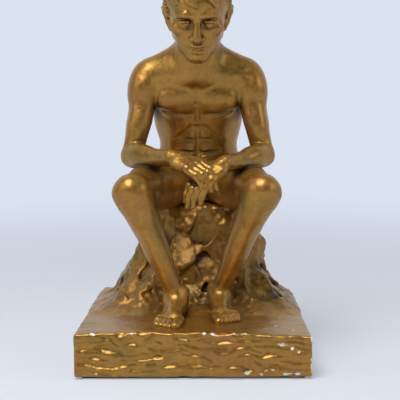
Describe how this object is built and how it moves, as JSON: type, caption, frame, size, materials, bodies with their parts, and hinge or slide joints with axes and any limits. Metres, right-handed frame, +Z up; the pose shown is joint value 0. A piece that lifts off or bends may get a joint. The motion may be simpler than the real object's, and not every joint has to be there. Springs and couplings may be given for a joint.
{
  "type": "seated figure statuette",
  "caption": "Gold-painted plaster statuette of a seated, pensive figure with folded hands on a rough rock and a square plinth; stands on a felt-covered underside as an ornament.",
  "frame": {"origin": "middle of the felt underside of the plinth", "axes": "+Z up; the figure faces -Y, and its right hand is on the -X side"},
  "size_m": [0.0856, 0.09, 0.1507],
  "materials": {
    "painted_plaster": "semi-gloss gold-bronze paint over cast plaster",
    "steel": "plain turned steel",
    "felt": "dark green wool felt"
  },
  "bodies": {
    "root": {"plinth": "painted_plaster", "rock_seat": "painted_plaster", "torso": "painted_plaster", "head": "painted_plaster", "right_arm": "painted_plaster", "left_arm": "painted_plaster", "folded_hands": "painted_plaster", "right_leg": "painted_plaster", "left_leg": "painted_plaster", "neck_dowel": "steel", "right_shoulder_dowel": "steel", "left_shoulder_dowel": "steel", "right_hip_dowel": "steel", "left_hip_dowel": "steel", "right_wrist_dowel": "steel", "left_wrist_dowel": "steel", "right_foot_dowel": "steel", "left_foot_dowel": "steel", "seat_rod": "steel", "seat_nut": "steel", "seat_washer": "steel", "felt_pad": "felt"}
  },
  "joints": []
}
